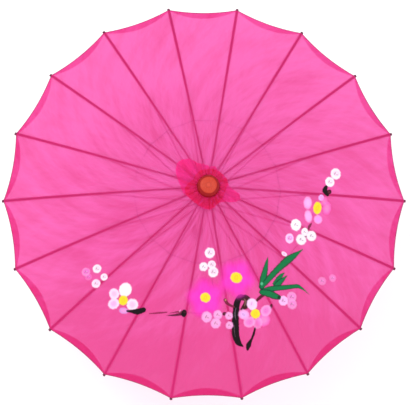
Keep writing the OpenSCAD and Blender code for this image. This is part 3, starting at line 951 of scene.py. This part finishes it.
def paint_trunk(art):
    hook = [(69, -231), (77, -223), (80, -214), (75, -209), (66, -210)]
    art.stroke(hook, [7, 13, 14, 12, 9], (0.035, 0.006, 0.008), 0.0, 1.0)
    art.stroke([(74, -224), (76, -216), (73, -211)], [2, 4, 2], (0.2, 0.1, 0.08), 0.5, 0.7)
    trunk = [(73, -207), (65, -208), (59, -219), (57, -234), (56, -249)]
    trunk += [(56, -265), (57, -281), (62, -294), (72, -302)]
    art.stroke(trunk, [6, 11, 13, 13, 14, 15, 15, 12, 2], INK, 0.0, 1.0)
    art.stroke([(57, -228), (55, -240), (57, -252)], [0.8, 2, 0.8], (0.25, 0.2, 0.25), 0.6, 0.45)
    art.stroke([(54, -262), (54, -272), (56, -284)], [0.8, 1.5, 0.8], (0.2, 0.12, 0.16), 0.6, 0.4)
    art.stroke([(96, -266), (93, -277), (89, -288)], [3.5, 5, 4], INK, 0.0, 1.0)
    art.stroke([(89, -287), (83, -299), (81, -307)], [4, 10, 5], INK, 0.0, 1.0)
    art.stroke([(97, -215), (105, -208), (113, -202)], [5, 6.5, 6], (0.08, 0.004, 0.016), 0.1, 1.0)
    art.petal(127, -225, 10, 6, 75, INK, BROWN, 0.97)


def paint_right_blossom(art):
    art.petal(113, -251, 26, 23, 20, ROSE, PALE_PINK, 0.75)
    art.petal(117, -233, 23, 20, 40, PALE_PINK, ROSE, 0.88)
    art.petal(84, -255, 24, 20, 200, PALE_PINK, ROSE, 0.85)
    art.petal(101, -257, 21, 18, 260, PALE_PINK, ROSE, 0.6)
    art.petal(73, -241, 22, 19, 170, PALE_PINK, (0.6, 0.4, 0.75), 0.95)
    art.petal(89, -221, 22, 20, 110, (0.9, 0.55, 0.85), (0.75, 0.45, 0.72), 0.97)
    for x, y in ((72, -241), (88, -220), (86, -255), (116, -233), (81, -232)):
        art.petal(x, y, 6, 3, x * 7 % 180, (0.25, 0.05, 0.3), PALE_PINK, 0.5, 0.5)
    art.middle(96, -239, 19, 18)
    art.bud(169, -205, 20, PALE_PINK, ROSE, 0.7)
    art.bud(170, -219, 20, PALE_PINK, ROSE, 0.65)
    art.bud(152, -213, 19, (0.88, 0.42, 0.75), (0.6, 0.3, 0.6), 0.92)
    art.bud(231, -172, 17, PALE_PINK, ROSE, 0.5)
    art.bud(253, -165, 15, PALE_PINK, ROSE, 0.45)


def paint_leaves(art):
    art.leaf([(108, -187), (111, -171), (115, -155), (118, -140), (120, -130)], [12, 14, 11, 6, 0.5])
    long_leaf = [(108, -188), (125, -169), (141, -152), (160, -135), (172, -126), (183, -118), (192, -111)]
    art.leaf(long_leaf, [9, 12, 13, 16, 12, 5, 1])
    art.leaf([(132, -181), (141, -172), (147, -165), (154, -159)], [5, 10, 8, 1])
    art.leaf([(132, -191), (143, -179), (150, -173), (160, -164)], [10, 12, 8, 1])
    drooping = [(108, -197), (127, -191), (149, -188), (164, -186)]
    drooping += [(180, -184), (188, -187), (196, -192), (204, -199)]
    art.leaf(drooping, [10, 11, 10, 9, 8, 5, 2.5, 0.8])
    art.leaf([(108, -198), (121, -200), (133, -204), (143, -207)], [10, 15, 14, 9])
    art.petal(143, -207, 9, 6, 70, LEAF_DARK, INK, 0.9)
    art.petal(108, -182, 6, 5, 60, MINT, MINT, 0.7, 0.4)


def paint_upper_spray(art):
    art.bud(262, 45, 21, (0.9, 0.7, 0.88), BLUSH, tall=1.12)
    art.bud(249, 27, 19, (0.9, 0.74, 0.88), BLUSH, tall=1.1)
    art.stroke([(241, 16), (238, 8), (243, 0)], [7, 11, 7], INK, 0.0, 1.0)
    art.petal(247, 6, 11, 9, 60, INK, BROWN, 1.0)
    art.petal(230, -7, 13, 11, 60, (0.6, 0.4, 0.85), PALE_PINK, 0.85)
    art.petal(242, -27, 26, 17, 80, ROSE, PALE_PINK, 0.7)
    art.petal(236, -14, 18, 13, 60, ROSE, PALE_PINK, 0.6)
    art.petal(202, -19, 25, 17, 85, PALE_PINK, (0.85, 0.4, 0.85), 0.92)
    art.petal(203, -46, 25, 16, 95, PALE_PINK, (0.85, 0.4, 0.85), 0.92)
    art.petal(223, -51, 18, 17, 60, PALE_PINK, (0.75, 0.25, 0.8), 0.92)
    art.petal(213, -40, 6, 3, 70, (0.3, 0.03, 0.35), MAGENTA, 0.6, 0.4)
    art.middle(222, -28, 17, 25)
    art.stroke([(209, -60), (205, -66), (203, -72)], [3, 6, 3], BROWN, 0.2, 0.95)
    art.bud(177, -65, 21, (0.9, 0.74, 0.88), WHITE, 0.98, 1.1)
    art.bud(195, -78, 14, WHITE, WHITE, 0.98, 1.2)
    art.bud(209, -85, 20, WHITE, WHITE, 0.98)
    art.bud(188, -93, 21, WHITE, WHITE, 0.98)
    art.petal(197, -87, 5, 3, 0, BROWN, INK, 0.7, 0.4)
    art.bud(164, -92, 17, (0.9, 0.5, 0.82), MAGENTA, 0.9, 1.15)
    art.stroke([(182, -103), (176, -109), (166, -121)], [0.8, 1.8, 1], BROWN, 0.3, 0.6)
    art.petal(153, -123, 12, 8, 150, WHITE, PALE_PINK, 0.95)


PAINT_STEPS = (
    paint_trunk,
    paint_left_spray,
    paint_middle_spray,
    paint_right_blossom,
    paint_leaves,
    paint_upper_spray,
)
PAINTED_GORES = (12, 13, 14, 15, 16, 17, 18, 1, 2)


def paint(piece):
    mesh = piece.data
    places = np.zeros(len(mesh.vertices) * 3, np.float32)
    mesh.vertices.foreach_get("co", places)
    art = Painting(places.reshape(-1, 3)[:, :2].astype(float) / MM)
    for step in PAINT_STEPS:
        step(art)
    layer = mesh.attributes.new("paint", "FLOAT_COLOR", "POINT")
    layer.data.foreach_set("color", np.column_stack([art.colour, art.cover]).astype(np.float32).ravel())


# ---------------------------------------------------------------- the canopy


def ride_rib(piece, number):
    """Carries a soft piece on its rib."""
    turn = azimuth(number)
    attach(piece, f"rib_{number:02d}")
    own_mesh(piece)


GORE_LENGTH = CLOTH_TO - CLOTH_FROM + HEM_WIDTH
GORE_WIDTH = rib_point(CLOTH_TO, RIB_TOP).x * math.sin(SECTOR)  # at the rim
GORE_HEAD_WIDTH = rib_point(CLOTH_FROM, RIB_TOP).x * math.sin(SECTOR)


def area_of(piece):
    piece.data.calc_loop_triangles()
    return sum(triangle.area for triangle in piece.data.loop_triangles)


def make_canopy():
    plain, painted = {}, {}
    for number in range(1, RIBS + 1):
        turn = {"Turn": azimuth(number), "Wrinkles": 1.0}
        if number in PAINTED_GORES:
            painted[f"canopy_gore_{number:02d}"] = {**turn, "Columns": 121, "Rows": 321}
        else:
            plain[f"canopy_gore_{number:02d}"] = {**turn, "Columns": 49, "Rows": 151}
    painted_gores = canopy_tree(PAINTED_SILK).run(painted)
    for gore in painted_gores:
        paint(gore)
    for gore in painted_gores + canopy_tree(CANOPY_SILK).run(plain):
        number = int(gore.name[-2:])
        ride_rib(gore, number)
        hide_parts(f"gore_{number:02d}")
        (GORE_WIDTH + GORE_HEAD_WIDTH) / 2 * GORE_LENGTH


make_canopy()

# ---------------------------------------------------------------- threads


def for_each_rib(name, **values):
    return {f"{name}_{number:02d}": {"Turn": azimuth(number), **values} for number in range(1, RIBS + 1)}


def make_threads():
    rims = rim_thread_tree().run(for_each_rib("rim_thread", Thickness=0.55 * MM))
    ring = {"Thickness": 0.4 * MM, "Distance": RING_ALONG, "Sag": 0.6 * MM}
    rings = ring_thread_tree().run(for_each_rib("ring_thread", **ring))
    for piece in rims + rings:
        ride_rib(piece, int(piece.name[-2:]))
    for piece in whipping_tree().run(for_each_rib("tip_whipping", Turns=4.0, Knot=1.5 * MM)):
        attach(piece, f"rib_{piece.name[-2:]}")


make_threads()

# ---------------------------------------------------------------- the collar

COLLAR_REACH = (
    (5, 41), (40, 39), (59, 40), (73, 45), (85, 42), (102, 50), (112, 54), (121, 70), (130, 77),
    (140, 80), (148, 74), (160, 64), (174, 54), (195, 49), (211, 42), (226, 37), (246, 42), (262, 44),
    (277, 44), (294, 40), (308, 38), (321, 44), (333, 61), (341, 68), (350, 63), (356, 49),
)  # how far the collar reaches, in millimetres, by direction in degrees
FOLD_REACH = (
    (20, 41), (60, 38), (100, 37), (150, 33), (190, 47),
    (215, 41), (240, 40), (270, 43), (300, 38), (340, 34),
)  # the same for the layer folded back over it
COLLAR_START = 18.5 * MM
WEDGE_SHARE = 0.75


def reach_at(table, turn):
    degrees, reach = zip(*table)
    return np.interp(np.degrees(turn) % 360, degrees, reach, period=360) * MM


def cloth_height(reach, turn):
    """Height of the canopy's cloth at a distance from the axis in some direction."""
    away = np.abs((turn / SECTOR + 0.5) % 1 - 0.5) * SECTOR
    across = np.tan(away) / math.tan(HALF_SECTOR)
    rib_reach = reach * np.cos(away) / (1 - (1 - math.cos(HALF_SECTOR) ** 2) * across)
    along = (rib_reach - HINGE.x - RIB_TOP * SIN) / COS
    sag = (along / CLOTH_TO) * (1 - (1 - across) ** 2) * CLOTH_SAG
    return HINGE.z + (RIB_TOP + CLOTH_LIFT) * COS - along * SIN - sag


def gathers(turn, reach, seed):
    """Ridges that run out from the neck, from -1 to 1, closer together where they start."""
    rng = np.random.default_rng(seed)
    total = 0
    for count in (7, 11, 17, 23, 31, 44):
        lean, phase = rng.uniform(-9, 9), rng.uniform(0, math.tau)
        total += np.cos(count * turn + lean * (reach / MM - 18) / 20 + phase) * (12 / (count + 8))
    return total / 2.2


def sheet_object(name, place, along, across, material):
    """A mesh over a grid of places, facing up, with its along and across values in metres."""
    rows, columns = along.shape
    mesh = bpy.data.meshes.new(name)
    corner = np.arange(rows * columns).reshape(rows, columns)
    ways = (corner[:-1, :-1], corner[1:, :-1], corner[1:, 1:], corner[:-1, 1:])
    faces = np.stack([way.ravel() for way in ways], 1)
    mesh.from_pydata(place.reshape(-1, 3).tolist(), [], faces.tolist())
    mesh.polygons.foreach_set("use_smooth", [True] * len(faces))
    for label, values in (("along", along), ("across", across)):
        layer = mesh.attributes.new(label, "FLOAT", "POINT")
        layer.data.foreach_set("value", values.ravel().astype(np.float32))
    mesh.materials.append(material)
    mesh.update()
    piece = bpy.data.objects.new(name, mesh)
    bpy.context.scene.collection.objects.link(piece)
    return piece


def declare_gathered(piece, length):
    """Works out a piece's area over the wedge share of a rectangle this long, and keeps nothing."""
    area = area_of(piece)
    area / (WEDGE_SHARE * length)


def make_petal(number, layer):
    """The part of one collar layer over one rib."""
    table = FOLD_REACH if layer else COLLAR_REACH
    turn = azimuth(number) + np.linspace(-HALF_SECTOR, HALF_SECTOR, 33)[None, :]
    share = np.linspace(0, 1, 41)[:, None] ** 0.85
    ragged = gathers(turn, 60 * MM, 5 + layer) * 1.3 * MM
    reach = COLLAR_START + (reach_at(table, turn) + ragged - COLLAR_START) * share
    turn = turn + 0 * share
    swirl = turn + (reach - COLLAR_START) * 3.0
    ridges = gathers(swirl, reach, 21 + layer)
    spread = between(18 * MM, 30 * MM, reach)
    lean = cloth_height(np.maximum(reach, 25 * MM), turn)
    neck = HINGE.z + 9.6 * MM
    hang = between(36 * MM, 21 * MM, reach)
    height = lean + (1.5 + 1.1 * layer) * MM + (neck - lean) * hang * 0.8
    flutter = between(0.55, 1.0, share) * 1.1 * MM * gathers(turn, 40 * MM, 31 + layer)
    height = height + ridges * (0.7 + 1.2 * hang + 0.4 * spread) * MM + np.maximum(flutter, 0)
    place = np.stack([reach * np.cos(turn), reach * np.sin(turn), height], -1)
    along, across = reach + 0 * turn, turn * reach
    name = f"collar_{'fold' if layer else 'petal'}_{number:02d}"
    piece = sheet_object(name, place, along, across, COLLAR_FOLDS if layer else COLLAR_SILK)
    declare_gathered(piece, reach.max() - COLLAR_START + 2 * MM)
    ride_rib(piece, number)
    return piece


def make_ruffle():
    """The gathered neck of the collar, tied under the cap and rolled over the crown's edge."""
    turn = np.linspace(0, math.tau, 361)[None, :]
    share = np.linspace(0, 1, 19)[:, None]
    outer = 25.6 * MM + gathers(turn, 20 * MM, 41) * 0.9 * MM
    reach = 15.6 * MM + (outer - 15.6 * MM) * share
    ridges = gathers(turn, reach, 43) * between(0.1, 0.8, share)
    roll = np.sin(share * math.pi * 0.9)
    height = HINGE.z + (9.9 + roll * 1.0 - share**3 * 1.2) * MM + ridges * 0.75 * MM
    place = np.stack([reach * np.cos(turn), reach * np.sin(turn), height], -1)
    piece = sheet_object("collar_ruffle", place, reach + 0 * turn, turn * reach, COLLAR_FOLDS)
    mesh = piece.data
    weld = piece.modifiers.new("seam", "WELD")
    weld.merge_threshold = 0.00002
    piece.data = bpy.data.meshes.new_from_object(piece.evaluated_get(bpy.context.evaluated_depsgraph_get()))
    piece.modifiers.clear()
    bpy.data.meshes.remove(mesh)
    declare_gathered(piece, 60 * MM)
    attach(piece, "stick")
    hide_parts("head_cloth")


def make_collar():
    for number in range(1, RIBS + 1):
        make_petal(number, 0)
        make_petal(number, 1)
    make_ruffle()


make_collar()
